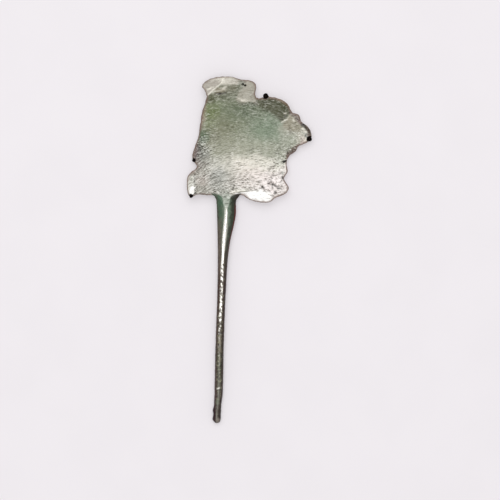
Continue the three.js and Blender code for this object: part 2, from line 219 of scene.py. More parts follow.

# Short marks: where they start and end, half their width, and how much paler (or darker, below 0) they are.
# Pale ones stand up a little and are partly painted glints; dark ones are dents, partly painted shade.
MARKS = [
    ((16.6, 89.6), (18.8, 90.3), 0.35, 0.9), ((19.4, 90.9), (21.4, 91.4), 0.35, 0.7),
    ((29.4, 98.2), (29.2, 96.4), 0.5, 1.0), ((25.5, 86), (26.4, 86.2), 0.5, -0.6),
    ((29, 90.3), (31.4, 91.8), 0.45, 0.65), ((26.6, 90.2), (27.6, 90.8), 0.3, 0.35),
    ((20, 97.4), (27.4, 98.3), 0.7, 0.45), ((44.2, 81.2), (46, 81.6), 0.5, 0.45),
    ((30, 97.2), (35.5, 96.6), 1.0, 0.1), ((25.5, 96.8), (29, 96.4), 0.9, 0.35),
    ((43.2, 96.8), (46.6, 95.8), 0.35, -0.45), ((54.6, 95), (55.4, 90), 0.3, 0.5),
    ((55.2, 88.6), (55, 86.6), 0.4, -0.4), ((45, 93.8), (46.6, 92.9), 0.22, -0.6),
    ((76.2, 63.8), (78.4, 65.3), 0.35, 0.5), ((78.4, 65.3), (80.4, 66), 0.35, 0.5),
    ((85.4, 65.2), (86.4, 64.2), 0.55, 0.8), ((85, 67.3), (85.8, 67.6), 0.35, 0.5),
    ((83.3, 69.4), (83.8, 69.9), 0.35, 0.35), ((78.2, 70.3), (79, 70.3), 0.45, 0.7),
    ((78.6, 68.8), (78.7, 68.2), 0.45, -0.7), ((75.2, 66.9), (77, 65.6), 0.4, -0.5),
    ((87.2, 66), (86.9, 63.6), 0.4, -0.5), ((84.4, 63), (86.6, 62.8), 0.4, -0.35),
    ((82.2, 55.3), (83.4, 55.2), 0.6, -0.3), ((80.4, 58.6), (82.6, 58.2), 0.5, -0.2),
    ((98.2, 55.8), (98.8, 54.2), 0.75, -0.7), ((95.6, 54.8), (95, 52.6), 0.6, -0.45),
    ((95.3, 50.9), (95, 49.4), 0.4, 1.0), ((88.4, 50.8), (88.9, 48.2), 0.6, 0.35),
    ((68.1, 14.5), (71.2, 13.4), 0.36, -0.95), ((68.4, 14.1), (68.4, 11.3), 0.32, -0.8),
    ((71.9, 12.8), (73.2, 12.7), 0.32, -0.8), ((72.4, 11.3), (75.2, 11.2), 0.34, -0.5),
    ((70.6, 8.6), (71.2, 7.6), 0.48, -0.9), ((65.8, 8.4), (66.6, 8.3), 0.38, -0.6),
    ((68.1, 5.2), (69.2, 5), 0.38, -0.6), ((57.8, 16.7), (59.6, 18), 0.4, -0.5),
    ((60.2, 12), (61.6, 11.8), 0.5, -0.75), ((64.8, 15.2), (65.9, 15.5), 0.34, -0.95),
    ((66.4, 16.4), (68, 16.5), 0.32, -0.7), ((67.4, 20.3), (67.9, 19.3), 0.34, -0.7),
    ((62, 23.3), (64.5, 23.1), 0.32, -0.4), ((68.5, 21.7), (70.6, 21.5), 0.32, -0.5),
    ((73.4, 23.5), (75, 23.3), 0.32, -0.5), ((76.6, 21), (76.8, 20.4), 0.4, -0.6),
    ((76.4, 19.8), (77.4, 18.6), 0.5, -0.9), ((62.5, 17.6), (64.2, 17.8), 0.3, -0.4),
    ((66.9, 17.9), (67.6, 17.8), 0.3, -0.6), ((52, 17), (53.4, 16.8), 0.45, -0.35),
    ((74.4, 15.6), (75.2, 15.4), 0.35, -0.4), ((4.9, 6.5), (6.4, 7), 0.35, -0.8),
    ((3.2, 14), (4, 13.2), 0.6, -0.25), ((8.4, 29.4), (9.8, 29.6), 0.4, -0.5),
    ((5.6, 36), (6, 42), 0.7, -0.3), ((7.4, 28), (7.8, 27), 0.35, -0.5),
]

# The small specks of the lower right corner and the rough patch of the left edge: middle and half widths
SPECKS = (69, 14), (13, 10)
SPECKLED_SIDE = (10.5, 37), (7, 13)
ELLIPSE_BORDER = (1.1, 0.6)  # where they start and are full, as shares of the half widths

# Where the broken outline is made a little sharper: the place, how far the change reaches, and the push there
NUDGES = [
    ((6.2, 29.6), 1.3, (0.4, -0.1)), ((57.2, 87.2), 1.5, (-0.5, -0.5)), ((86.2, 72.6), 1.0, (-0.3, -0.3)),
    ((89.6, 68.2), 1.6, (0.2, 0.15)), ((91.4, 64.2), 1.2, (-0.25, -0.2)), ((96.4, 60.2), 1.6, (0.2, 0.2)),
    ((91, 43), 1.2, (-0.3, 0.35)), ((80.6, 29), 1.8, (-0.3, 0)), ((20.6, -164.7), 1.3, (-0.25, 0)),
    ((20.8, -171.6), 1.2, (-0.4, 0)),
]

# Areas of patina, light and shade with a clear border: how soft it is, and the corners. Each becomes a mask
# for the material.
AREAS = {
    "corner_flap": (0.25, [(8, 82), (17, 85), (20.8, 89), (24.5, 92.5), (28, 95.5), (29.5, 102), (8, 102)]),
    "top_band": (0.5, [(29.4, 102), (28.5, 97), (26.2, 94.3), (32, 92.8), (39, 92.6), (41.5, 95),
        (42.3, 102)]),
    "pocket": (0.35, [(24.4, 93), (30.2, 94.2), (36, 93.4), (40.8, 93.2), (39.2, 88.3), (33.5, 87),
        (31, 90.5), (27.5, 89.8)]),
    "plate": (0.8, [(47.5, 99), (58, 99), (58, 80), (44, 79.6), (39.5, 80.8), (41.4, 84.6), (44.4, 89.6),
        (46.6, 95)]),
    "dark_shoulder": (1.1, [(55.8, 85), (66.5, 86), (78, 84), (90, 72), (82.2, 69.6), (80.2, 66.2),
        (76.6, 63.4), (72.4, 66.6), (66.5, 71.8), (60.1, 74.6), (54.6, 79.5)]),
    "lobe_tip": (0.5, [(82.3, 70.4), (92, 72), (97, 64), (90, 56), (82, 57), (77.4, 60.6), (77.8, 63),
        (80.4, 66.3)]),
    "lobe_border": (0.5, [(81.8, 70.6), (84, 75), (96, 74), (95, 61), (91.4, 61.4), (89, 63.8), (87.2, 66.2),
        (84.8, 68)]),
    "torn_edge": (0.35, [(90.4, 46.4), (92, 42), (86, 36), (80.5, 33.5), (79.6, 38.4), (82.7, 42.2),
        (86.7, 45)]),
    # The lower lip and the corner below are painted white: a painted highlight where they face the light
    "lower_lip_highlight": (1.2, [(39.5, 7), (44, 8.2), (49, 8.3), (53, 9.6), (58.4, 10.3), (62.6, 9.6), (65.4, 8),
        (66.8, 5.3), (68.2, 2.1), (71.4, -1), (50.6, -2.6), (42.5, 2.1)]),
    "corner_highlight": (0.45, [(2.6, 12), (4.4, 12.8), (6, 12.2), (6, 9.4), (4.6, 5.4), (2.4, 5.4), (2.2, 9)]),
    "corner_lip": (0.3, [(-3, 20.5), (5.9, 20.5), (6.1, 13), (6.3, 3), (-3, 3)]),
}
AREA_HEIGHTS = {"pocket": -0.1, "plate": 0.28}  # how far they stand up
QUIET_AREAS = ["plate", "top_band", "corner_flap"]  # where the hammer marks are faint
QUIET = 0.35  # how much fainter

# The hammer marks rise to the right, steeply at the left edge. For the upper and the lower half of the head:
# the slope at the left edge, and the distance in millimetres in which it fades.
MARK_SLOPES = [(0.6, 8), (1.0, 13)]
HALVES_MEET = 40  # how far up the head the halves meet, in percent
HALVES_BLEND = (14, -8)  # from how far above to how far below that place they blend, in millimetres
RIPPLE_SIZE = (2.0, 0.65, 2.0)
RIPPLE_GAIN = 1.5
RIPPLE_WARP = 0.5

# Heights of the head's relief in millimetres
WIDE_SWELL, NARROW_SWELL = 0.2, 0.08
MARK_HEIGHT, SPECK_DEPTH = 0.12, 0.08
TORN_HEIGHT, TORN_FINE_HEIGHT = 0.14, 0.06
BACK_HEIGHT = 0.04
FULL_PIT = 0.3  # the depth from which a pit is fully dark
FAR_FROM_EDGE = 9  # the distance to the edge that the shaft is given

# The neck and the shaft in millimetres
NECK_REACH = 5.2  # how far the neck's sides stand from its middle, below the head's lower edge
NECK_FLARE = 1.4  # how much further they reach at that edge
NECK_FADE = 1.5  # the length in which the flare fades
TONGUE_TOP = 1.5  # how far above that edge the sheet narrows to a tongue
TONGUE_WIDTH = 4.6  # half the tongue's width where it starts
TONGUE_FADE = 0.8  # the length in which it narrows
RIDGE_WIDTH = 1.3  # half the width of the pale ridge that goes on from it
SLICES_FROM = 1.5  # how far below the head's lower edge the shaft is first measured
SLICE_STEP, SLICE_REACH = 1.0, 0.6  # how far apart the slices are, and half their height

# The worn line down the shaft's front, partly a painted highlight, with places as shares of the length from
# the neck
LINE_STARTS = (0.035, 0.075)
LINE_BREAKS = (0.26, 0.33)  # where it goes over into dashes
LINE_ENDS = (0.56, 0.52)
LINE_TURN = 0.07  # how far round the shaft the dashes are, in radians
DASH_SIZE, FLECK_SIZE = (0.65, 1.15, 2), (0.7, 1.2, 2)
NICK = [(24.4, -147.8), (26, -147.1)]  # a bright nick near the point, in percent of the head
NICK_WIDTH = 0.3


def distance_to_path(places, path, closed=False):
    """How far each place is from a path of straight lines between places on the head."""
    corners = [np.array(on_head(*corner)) for corner in path]
    ends = corners[1:] + corners[:1] if closed else corners[1:]
    nearest = np.full(len(places), np.inf)
    for start, end in zip(corners, ends):
        along = end - start
        share = np.clip((places - start) @ along / (along @ along), 0, 1)
        gap = places - start - share[:, None] * along
        nearest = np.minimum(nearest, np.hypot(gap[:, 0], gap[:, 1]))
    return nearest


def near_path(places, path, width):
    """1 on a path and less beside it, down to about a third at half the path's width."""
    return np.exp(-((distance_to_path(places, path) / width) ** 2))


def area_share(places, soft, outline):
    """1 inside an area, 0 outside it, with a soft border."""
    corners = [on_head(*corner) for corner in outline]
    inside = np.zeros(len(places), bool)
    for (x0, y0), (x1, y1) in zip(corners, corners[1:] + corners[:1]):
        between = (places[:, 1] > y0) != (places[:, 1] > y1)
        crossing = x0 + (places[:, 1] - y0) * (x1 - x0) / (y1 - y0 + 1e-9)
        inside ^= between & (places[:, 0] < crossing)
    distance = distance_to_path(places, outline, closed=True)
    return smoothstep(np.where(inside, distance, -distance), -soft, soft)


def nudged(points):
    """The points with the outline's notches and bumps made a little sharper."""
    moved = points.copy()
    for place, reach, push in NUDGES:
        distance = np.linalg.norm(points[:, :2] - on_head(*place), axis=1)
        moved[:, :2] += np.exp(-((distance / reach) ** 2))[:, None] * np.array(push)
    return moved


def pit_depths(places):
    """How deep each place is in a pit, in millimetres."""
    deepest = np.zeros(len(places))
    for place, radius, depth in PITS.values():
        distance = np.linalg.norm(places - on_head(*place), axis=1)
        outer, inner = (radius * share for share in PIT_WALL)
        deepest = np.maximum(deepest, depth * smoothstep(distance, outer, inner))
    return deepest


def mark_paint(places):
    """How much paler or darker each place is for the short marks."""
    return sum(paint * near_path(places, (start, end), width) for start, end, width, paint in MARKS)


def line_relief(places):
    """How far each place stands up for the lines, and how much paler or darker it is."""
    height, paint = np.zeros(len(places)), np.zeros(len(places))
    for path, width, rise, tint in LINES.values():
        share = near_path(places, path, width)
        height += rise * share
        paint += tint * share
    return height, paint


def ellipse_share(points, ellipse):
    """1 in the middle of an ellipse on the head and 0 outside it, with a wide soft border."""
    centre, half_widths = ellipse
    away = (points[:, :2] - on_head(*centre)) / (np.array(half_widths) / 100 * (HEAD_WIDTH, HEAD_HEIGHT))
    return smoothstep(np.linalg.norm(away, axis=1), *ELLIPSE_BORDER)


def speck_share(points):
    """1 in the small irregular specks of the lower right corner."""
    near = ellipse_share(points, SPECKS)
    return near * smoothstep(stretched_noise(points, 61, (0.95, 0.6, 1), turn=-12), 0.25, 0.55)


def lower_share(points):
    """0 on the upper half of the head and 1 on its lower half, where the hammer marks slant."""
    _, middle = on_head(0, HALVES_MEET)
    above, below = HALVES_BLEND
    return smoothstep(points[:, 1], middle + above, middle + below)


def blend_gain(share):
    """What keeps two noises that blend into each other as strong as one alone."""
    return 1 / np.hypot(share, 1 - share)


def marks_level(points, slope, fade):
    """The points, with the curved lines of the hammer marks made level."""
    level = points.copy()
    level[:, 1] += slope * fade * np.exp(-(points[:, 0] - HEAD_LEFT) / fade)
    return level


def ripples(points):
    """Fine hammered ripples along the marks, about -1 to 1."""
    warp = points.copy()
    warp[:, 1] += RIPPLE_WARP * stretched_noise(points, 11, (4, 3, 4))
    upper, lower = (stretched_noise(marks_level(warp, *slope), seed, RIPPLE_SIZE)
                    for slope, seed in zip(MARK_SLOPES, (12, 13)))
    share = lower_share(points)
    return np.clip(RIPPLE_GAIN * blend_gain(share) * (upper * (1 - share) + lower * share), -1, 1)


def edge_distance(points, on_rim):
    """How far each point is from the nearest point of the rim, in millimetres."""
    tree = KDTree(int(on_rim.sum()))
    for index in np.nonzero(on_rim)[0]:
        tree.insert(points[index], int(index))
    tree.balance()
    return np.array([tree.find(point)[2] for point in points])


def shaft_sides(points):
    """The shaft's middle and half width at each point's height, measured on the mesh."""
    steps = np.arange(points[:, 1].min(), NECK_LINE - SLICES_FROM, SLICE_STEP)
    beside_lip = points[points[:, 0] < NECK_X + NECK_REACH]
    slices = [beside_lip[np.abs(beside_lip[:, 1] - y) < SLICE_REACH, 0] for y in steps]
    low = np.array([across.min() for across in slices])
    high = np.array([across.max() for across in slices])
    middle = np.interp(points[:, 1], steps, (low + high) / 2)
    return middle, np.interp(points[:, 1], steps, (high - low) / 2)


def neck_reach(below):
    """How far the neck reaches to each side, at some distance below its upper end."""
    return NECK_REACH + NECK_FLARE * np.exp(-np.maximum(below, 0) / NECK_FADE)


def below_head(points, middle):
    """0 on the head, with its lips left and right of the neck, and 1 on the neck and shaft."""
    below = NECK_LINE - points[:, 1]
    outside = np.abs(points[:, 0] - middle) - neck_reach(below)
    return smoothstep(below, -1, 3) * smoothstep(outside, 0.3, -0.3)


def shaft_share(points, normals, middle):
    """1 on the shaft's own patina, 0 on the head and on the tongue that runs down the neck's ridge."""
    below = NECK_LINE + TONGUE_TOP - points[:, 1]
    aside = np.abs(points[:, 0] - middle)
    ridge = RIDGE_WIDTH * smoothstep(below, 9, 3.5)
    width = TONGUE_WIDTH * np.exp(-np.maximum(below, 0) / TONGUE_FADE) + ridge
    front = smoothstep(aside - width, -0.3, 0.3) * smoothstep(below, -0.2, 0.2)
    back = smoothstep(below, -2, 4)
    return np.where(normals[:, 2] > -0.1, front, back) * smoothstep(aside - neck_reach(below), 0.3, -0.3)


def worn_highlight_share(points, normals, down):
    """Where the shaft's front ridge is worn bright, partly a painted highlight: whole near the neck, then
    broken.
    """
    broken = smoothstep(down, *LINE_BREAKS)
    turn = LINE_TURN * broken
    facing = normals[:, 2] * np.cos(turn) - normals[:, 0] * np.sin(turn)
    narrow = 0.045 * np.maximum(smoothstep(down, 0.2, 0.07), smoothstep(down, 0.2, 0.27))
    ridge = smoothstep(facing, 0.9 + narrow, 0.97 + 0.5 * narrow)
    wider = smoothstep(facing, 0.925, 0.98)
    dashes = stretched_noise(points, 51, DASH_SIZE, turn=35)
    whole = smoothstep(dashes + 0.9 * (1 - broken), -0.24, 0.17)
    reach = smoothstep(down, *LINE_STARTS) * smoothstep(down, *LINE_ENDS)
    line = reach * whole * (ridge + broken * (wider - ridge))
    specks = smoothstep(stretched_noise(points, 52, FLECK_SIZE, turn=30), 0.0, 0.3)
    fewer = 0.2 + 0.75 * smoothstep(down, 0.64, 0.59)
    flecks = wider * specks * fewer * smoothstep(down, 0.5, 0.54) * smoothstep(down, 0.8, 0.7)
    nick = 0.7 * near_path(points[:, :2], NICK, NICK_WIDTH)
    return np.maximum.reduce([line, flecks, nick])


def shaft_relief(points, down):
    """Small dents along the shaft, with coarser corrosion towards the point."""
    worn = smoothstep(down, 0.25, 0.5)
    dents = stretched_noise(points, 41, (1.6, 2.6, 1.6))
    pocks = stretched_noise(points, 42, (0.8, 1.0, 0.8))
    tip = smoothstep(down, 0.9, 0.96) * stretched_noise(points, 43, (1.6, 1.8, 1.6))
    return 0.045 * dents * (0.2 + 0.8 * worn) + 0.06 * pocks * worn + 0.12 * tip


def rough_share(points, head, edge, lower, corner_lip):
    """How rough the hammered sheet is: most near its edge and on the left, less in the lower corners."""
    speckled = ellipse_share(points, SPECKLED_SIDE)
    specks = ellipse_share(points, SPECKS)
    calm = np.maximum.reduce([0.8 * corner_lip, 0.35 * specks, 0.25 * speckled])
    rough = np.maximum(smoothstep(edge, 11, 4) * (0.4 + 0.6 * lower), speckled)
    return head * rough * (1 - calm)


def head_relief(points, normals, head):
    """The height of the head's relief along the surface normal, and the masks of its patina."""
    flat = smoothstep(np.abs(normals[:, 2]), 0.35, 0.75)
    facing = head * smoothstep(normals[:, 2], 0.1, 0.3)
    front = head * flat * (normals[:, 2] > 0)
    back = head * flat * (normals[:, 2] < 0)
    torn = head * (1 - flat)
    edge = np.where(head > 0.5, edge_distance(points, torn > 0.6), FAR_FROM_EDGE)
    lower = lower_share(points)

    wobble = np.stack([stretched_noise(points, seed, (2.2, 2.2, 2.2)) for seed in (21, 22)], axis=1)
    areas = {name: facing * area_share(points[:, :2] + 0.45 * wobble, *area) for name, area in AREAS.items()}
    places = points[:, :2] + 0.2 * wobble
    line_height, line_paint = line_relief(places)
    marks = mark_paint(places)
    paint = marks + line_paint
    specks = facing * speck_share(points)
    deep = pit_depths(points[:, :2])

    swell = WIDE_SWELL * stretched_noise(points, 31, (9, 7, 7))
    swell += NARROW_SWELL * stretched_noise(points, 32, (4, 3, 3))
    fine = stretched_noise(points, 33, (0.9, 0.7, 0.8))
    crests = ripples(points)
    rough = rough_share(points, head, edge, lower, areas["corner_lip"])
    strength = 0.03 + 0.02 * lower + 0.03 * rough
    height = front * (strength * crests + 0.02 * fine + swell - deep)
    height += front * line_height
    height += front * (MARK_HEIGHT * marks - SPECK_DEPTH * specks)
    height += flat * sum(rise * areas[name] for name, rise in AREA_HEIGHTS.items())
    height += back * (swell + BACK_HEIGHT * (crests + fine))
    height += torn * (TORN_HEIGHT * stretched_noise(points, 34, (1.6, 1.6, 1.6)) + TORN_FINE_HEIGHT * fine)
    masks = {
        "crest": crests,
        "pale_mark_and_highlight": facing * np.clip(paint, 0, 1),
        "dark_mark_and_shade": facing * np.clip(-paint, 0, 1),
        "pit": np.clip(front * deep / FULL_PIT, 0, 1),
        "rim": torn,
        "edge": edge,
        "rough": rough,
        "lower": lower,
        "gain": blend_gain(lower),
        "speck": specks,
        "quiet": QUIET * np.maximum.reduce([areas[name] for name in QUIET_AREAS]),
        **areas,
    }
    return height, masks


def relief(points, normals):
    """The height of all relief along the surface normal, and the masks that the material reads."""
    middle, half_width = shaft_sides(points)
    down = (NECK_LINE - points[:, 1]) / STEM_LENGTH
    head = 1 - below_head(points, middle)
    height, masks = head_relief(points, normals, head)
    height += (1 - head) * shaft_relief(points, down)
    masks["on_shaft"] = shaft_share(points, normals, middle)
    masks["aside"] = np.clip((points[:, 0] - middle) / half_width, -1, 1)
    masks["worn"] = worn_highlight_share(points, normals, down)
    return height, masks


def blended_join(points, edges):
    """The points with the step between the sheet and the neck evened out."""
    softer = smoothed(points, edges, JOIN_ROUNDS, push=0.0)
    across = (points[:, 0] - NECK_X) / JOIN_REACH[0]
    along = (points[:, 1] - NECK_LINE + JOIN_DROP) / JOIN_REACH[1]
    share = smoothstep(np.hypot(across, along), 1, 0.55)[:, None]
    return points + share * (softer - points)


def dress(piece):
    """Smooths the fine copy, raises its relief and stores the masks on it."""
    mesh = piece.data
    edges = np.empty(len(mesh.edges) * 2, np.int32)
    mesh.edges.foreach_get("vertices", edges)
    edges = edges.reshape(-1, 2)
    points = smoothed(vectors_of(mesh.vertices, "co") / MM, edges, SMOOTHING_ROUNDS)
    points = nudged(blended_join(points, edges))
    move_points(mesh, points)
    normals = vectors_of(mesh.vertex_normals, "vector")
    height, masks = relief(points, normals)
    points = points + normals * height[:, None]
    low, high = np.array(CAD_LOW) / MM, np.array(CAD_HIGH) / MM
    move_points(mesh, np.clip(points, low, high))
    for name, values in masks.items():
        mask = mesh.attributes.new(name, "FLOAT", "POINT")
        mask.data.foreach_set("value", values.astype(np.float32))
    mesh.polygons.foreach_set("use_smooth", np.ones(len(mesh.polygons), bool))


# Materials


class Graph:
    """Adds nodes to a material and joins them as they are made."""

    def __init__(self, material):
        material.use_nodes = True
        self.tree = material.node_tree
        self.tree.nodes.clear()

    def node(self, kind, settings=(), **inputs):
        """A new shader node. An input has its name, or is i0, i1 and so on, and is a value or a socket."""
        made = self.tree.nodes.new("ShaderNode" + kind)
        for name, value in dict(settings).items():
            setattr(made, name, value)
        for name, value in inputs.items():
            by_number = name[1:].isdigit()
            socket = made.inputs[int(name[1:]) if by_number else name.replace("_", " ")]
            if isinstance(value, bpy.types.NodeSocket):
                self.tree.links.new(value, socket)
            else:
                socket.default_value = value
        return made

    def math(self, operation, first, second=0.0):
        return self.node("Math", {"operation": operation}, i0=first, i1=second).outputs[0]

    def plus(self, first, second):
        return self.math("ADD", first, second)

    def times(self, first, *others):
        """The product of all the values."""
        for other in others:
            first = self.math("MULTIPLY", first, other)
        return first

    def vector(self, operation, first, second):
        return self.node("VectorMath", {"operation": operation}, i0=first, i1=second).outputs["Vector"]

    def noise(self, place, scale, detail=3.0, roughness=0.55, output="Fac"):
        made = self.node("TexNoise", Vector=place, Scale=scale, Detail=detail, Roughness=roughness)
        return made.outputs[output]

    def spread(self, value, low, high, bottom=0.0, top=1.0):
        """The value, softly spread from low..high to bottom..top."""
        settings = {"interpolation_type": "SMOOTHSTEP"}
        limits = {"From_Min": low, "From_Max": high, "To_Min": bottom, "To_Max": top}
        return self.node("MapRange", settings, Value=value, **limits).outputs["Result"]

    def mix(self, share, first, second, blend="MIX"):
        settings = {"data_type": "RGBA", "blend_type": blend, "clamp_factor": True}
        return self.node("Mix", settings, i0=share, i6=first, i7=second).outputs[2]

    def between(self, share, first, second):
        """The value that is some share of the way from the first to the second."""
        return self.node("Mix", {"data_type": "FLOAT"}, i0=share, i2=first, i3=second).outputs[0]

    def turned(self, place, degrees):
        settings = {"rotation_type": "Z_AXIS"}
        made = self.node("VectorRotate", settings, Vector=place, Angle=math.radians(degrees))
        return made.outputs["Vector"]

    def mask(self, name):
        return self.node("Attribute", {"attribute_name": name}).outputs["Fac"]


# Soft patches of patina and of painted light and shade on the head: where and half widths in percent, turn in
# degrees, how soft the border is as a share of the half widths, how strong, and the colour
PATCHES = {
    # Darker over the upper half: partly the olive patina, partly painted shade
    "olive upper half": ((32, 62), (30, 26), 0, 0.9, 0.9, (114, 118, 90)),
    "green grey upper left": ((30, 74), (14, 9), 0, 0.9, 0.7, (116, 127, 99)),
    "green grey upper middle": ((47, 74), (13, 7), 0, 0.9, 0.85, (88, 98, 74)),
    "olive left": ((22, 55), (12, 12), 0, 0.9, 0.6, (122, 122, 100)),
    "sage centre": ((66, 58), (19, 17), 0, 0.9, 0.85, (114, 132, 108)),
    "yellow green left": ((18, 71), (6, 10), 0, 0.9, 0.75, (101, 114, 60)),
    "brown left rim": ((12.4, 68), (2, 13), -11, 0.9, 0.5, (142, 112, 100)),
    "light middle strip": ((39, 53), (10, 4.5), 8, 0.9, 0.35, (146, 149, 128)),
    "light middle left": ((21, 63), (6, 4.5), 0, 0.9, 0.4, (142, 148, 120)),
    "olive middle": ((33, 61), (6, 4), -20, 0.9, 0.5, (103, 107, 79)),
    "dark by the plate": ((58, 74), (10, 5), 0, 0.9, 0.85, (88, 98, 72)),
    # The next three are painted shade: under the fold, under the pocket and in the pocket
    "dark under the fold": ((20, 83), (9, 3.5), 20, 0.7, 0.85, (80, 81, 48)),
    "dark under the pocket": ((31, 83), (9, 3.5), 0, 0.8, 0.6, (92, 98, 74)),
    "dark pocket": ((35, 88), (8, 4), 0, 0.7, 0.75, (110, 112, 92)),
    "tan under the flap": ((27, 89.6), (5, 2.4), 14, 0.7, 0.65, (143, 132, 109)),
    "grey wedge": ((41, 91), (3.4, 7), -31, 0.7, 0.8, (118, 120, 102)),
    "brown by the plate": ((59, 81), (4.5, 3), 0, 0.7, 0.8, (92, 82, 62)),
    # Paler where the right lobe turns to the light: partly painted light
    "pale right lobe": ((90, 56), (12, 14), 0, 0.7, 0.95, (187, 186, 171)),
    "tan on the lobe": ((81, 61), (4.5, 3), 10, 0.8, 0.5, (154, 147, 130)),
    "pinkish lower lobe": ((92, 48.5), (3.5, 4), 0, 0.8, 0.8, (200, 186, 176)),
    "lilac lower edge": ((92, 45.3), (2.4, 1.2), 0, 0.6, 0.8, (172, 148, 146)),
    "brown inside the curl": ((98.4, 55), (1.5, 1.7), 0, 0.5, 0.9, (112, 96, 88)),
    "grey inside the curl": ((95.2, 53.8), (1.6, 2.4), 0, 0.6, 0.8, (138, 140, 134)),
    "light beside the crust": ((94.9, 50.2), (1.1, 1.6), 0, 0.5, 0.8, (226, 216, 206)),
    "grey middle": ((46, 42), (34, 8), 0, 0.9, 0.7, (165, 166, 147)),
    # The cream and pinkish patches of the lower half are partly painted sheen, where it faces the light
    "cream band": ((44, 31), (15, 6.5), 0, 0.8, 0.95, (226, 222, 208)),
    "cream left": ((32, 28), (9, 5), 0, 0.9, 0.7, (216, 213, 200)),
    "pinkish band": ((58, 22), (19, 9), 0, 0.8, 0.95, (230, 220, 212)),
    "cream right": ((67, 30), (13, 5.5), 0, 0.8, 0.85, (224, 222, 208)),
    "grey green right": ((78, 36), (6, 6), 0, 0.9, 0.5, (160, 166, 146)),
    "green left edge": ((13, 52), (4, 6), 0, 0.8, 0.9, (74, 94, 64)),
    "pale lower middle": ((24, 29), (11, 6), 0, 0.9, 0.7, (192, 192, 181)),
    "speckled left": ((11, 38), (5, 9), 0, 0.8, 0.75, (112, 113, 108)),
    "brown left edge": ((6.8, 37), (3.8, 10), 0, 0.7, 0.9, (94, 84, 80)),
    "grey left corner": ((9.5, 28), (4, 5), 0, 0.8, 0.7, (126, 118, 110)),
    "lower left": ((20, 17), (15, 12), 0, 0.9, 0.6, (182, 176, 167)),
    "lilac lower left": ((13, 17), (5, 4), 0, 0.9, 0.5, (168, 154, 146)),
    "blue grey lower left": ((25, 20), (6, 7), 0, 0.9, 0.4, (160, 166, 166)),
    "grey above the neck": ((29, 14), (9, 9), 0, 0.9, 0.6, (164, 166, 156)),
    "tongue": ((31, 0), (7, 8), 0, 0.6, 0.9, (156, 166, 152)),
    # Nearly white by the lower lip: partly a painted highlight
    "pinkish corner": ((70, 13), (14, 11), 0, 0.9, 0.95, (252, 243, 240)),
    "tan left edge of the plate": ((44, 85), (3, 6), -20, 0.9, 0.4, (142, 136, 118)),
    "green grey lower lobe": ((83, 49), (5, 6), 0, 0.9, 0.6, (138, 146, 126)),
    # Partly a painted highlight above the lip
    "white above the lip": ((46, 15), (12, 4), 0, 0.9, 0.7, (222, 214, 207)),
    "brownish left lip": ((3, 23.5), (4, 3), 0, 0.7, 0.8, (158, 146, 134)),
}

# Small sharp spots, in the same form, laid over the rest
SPOTS = {
    "crack": ((78.2, 32.8), (1.6, 0.6), 18, 0.4, 0.95, (14, 12, 10)),
    "pit in the corner": ((73.8, 11.2), (1.3, 0.42), 3, 0.5, 0.85, (48, 42, 40)),
    "pit below it": ((70.4, 7.6), (0.75, 0.7), 0, 0.6, 0.7, (88, 86, 84)),
    "pit left of it": ((65.3, 15), (0.8, 0.4), 20, 0.5, 0.75, (76, 66, 66)),
    # A painted highlight on the rim inside the right edge
    "pale strip inside the right edge": ((78.7, 27), (0.5, 4), 2, 0.4, 0.8, (244, 238, 232)),
    "white fleck beside it": ((75.6, 26.3), (0.9, 0.4), 5, 0.5, 0.8, (246, 244, 238)),
    "blue grey dent under it": ((76.6, 23.4), (0.8, 1.5), 0, 0.6, 0.7, (146, 151, 143)),
    "mauve band of the left edge": ((7, 38.5), (1.0, 6.5), -14, 0.5, 0.65, (106, 90, 88)),
    # The brown of the painted shadow under the curled edge
    "brown of the curled edge": ((96.8, 58), (1.0, 4.6), 30, 0.5, 0.5, (92, 76, 62)),
    "brown rim of the shoulder": ((77, 79.6), (8, 1.3), -33, 0.6, 0.6, (112, 92, 70)),
}
HEAD_COLOUR = srgb(172, 171, 160)

# The clear areas, the lines and the specks, laid over the patches in this order
MASK_COLOURS = {
    # The pale corner flap and top band are painted light, on faces that are turned to it
    "corner_flap": (166, 160, 149),
    "top_band": (194, 190, 177),
    # The pocket's colour is painted shade
    "pocket": (114, 114, 94),
    "plate": (159, 155, 141),
    # The dark shoulder is painted shade, where the sheet turns away from the light
    "dark_shoulder": (80, 82, 60),
    "lobe_tip": (149, 144, 125),
    "lobe_border": (104, 90, 82),
    # The torn edge is painted shade, where the sheet's edge bends back
    "torn_edge": (96, 82, 70),
    # The cream of the corner lip is partly painted light
    "corner_lip": (222, 221, 211),
    # Pale marks and lines are partly painted highlights, dark ones partly painted shade
    "pale_mark_and_highlight": (228, 224, 210),
    "dark_mark_and_shade": (40, 31, 25),
    "speck": (132, 120, 114),
}
# The white of the two lips at the bottom is a painted highlight
LIP_HIGHLIGHT_COLOUR = srgb(251, 250, 247)
# The brown of the seam along the broken edge is partly painted shade of the edge
EDGE_COLOUR = srgb(122, 102, 92)
RIM_COLOUR = srgb(86, 64, 56)
# The dark of the pits and holes is partly painted shade
PIT_COLOUR = srgb(42, 36, 32)
CRUST_COLOUR = srgb(16, 12, 10)

# The black lumps of crust: where in percent, and the radius in millimetres
CRUSTS = [((63, 84.6), 1.15), ((98.3, 50.4), 1.1), ((5.4, 33.5), 0.75), ((3.4, 5), 0.8)]
CRUST_REACH = 1.25  # how far the black goes, as a share of the radius

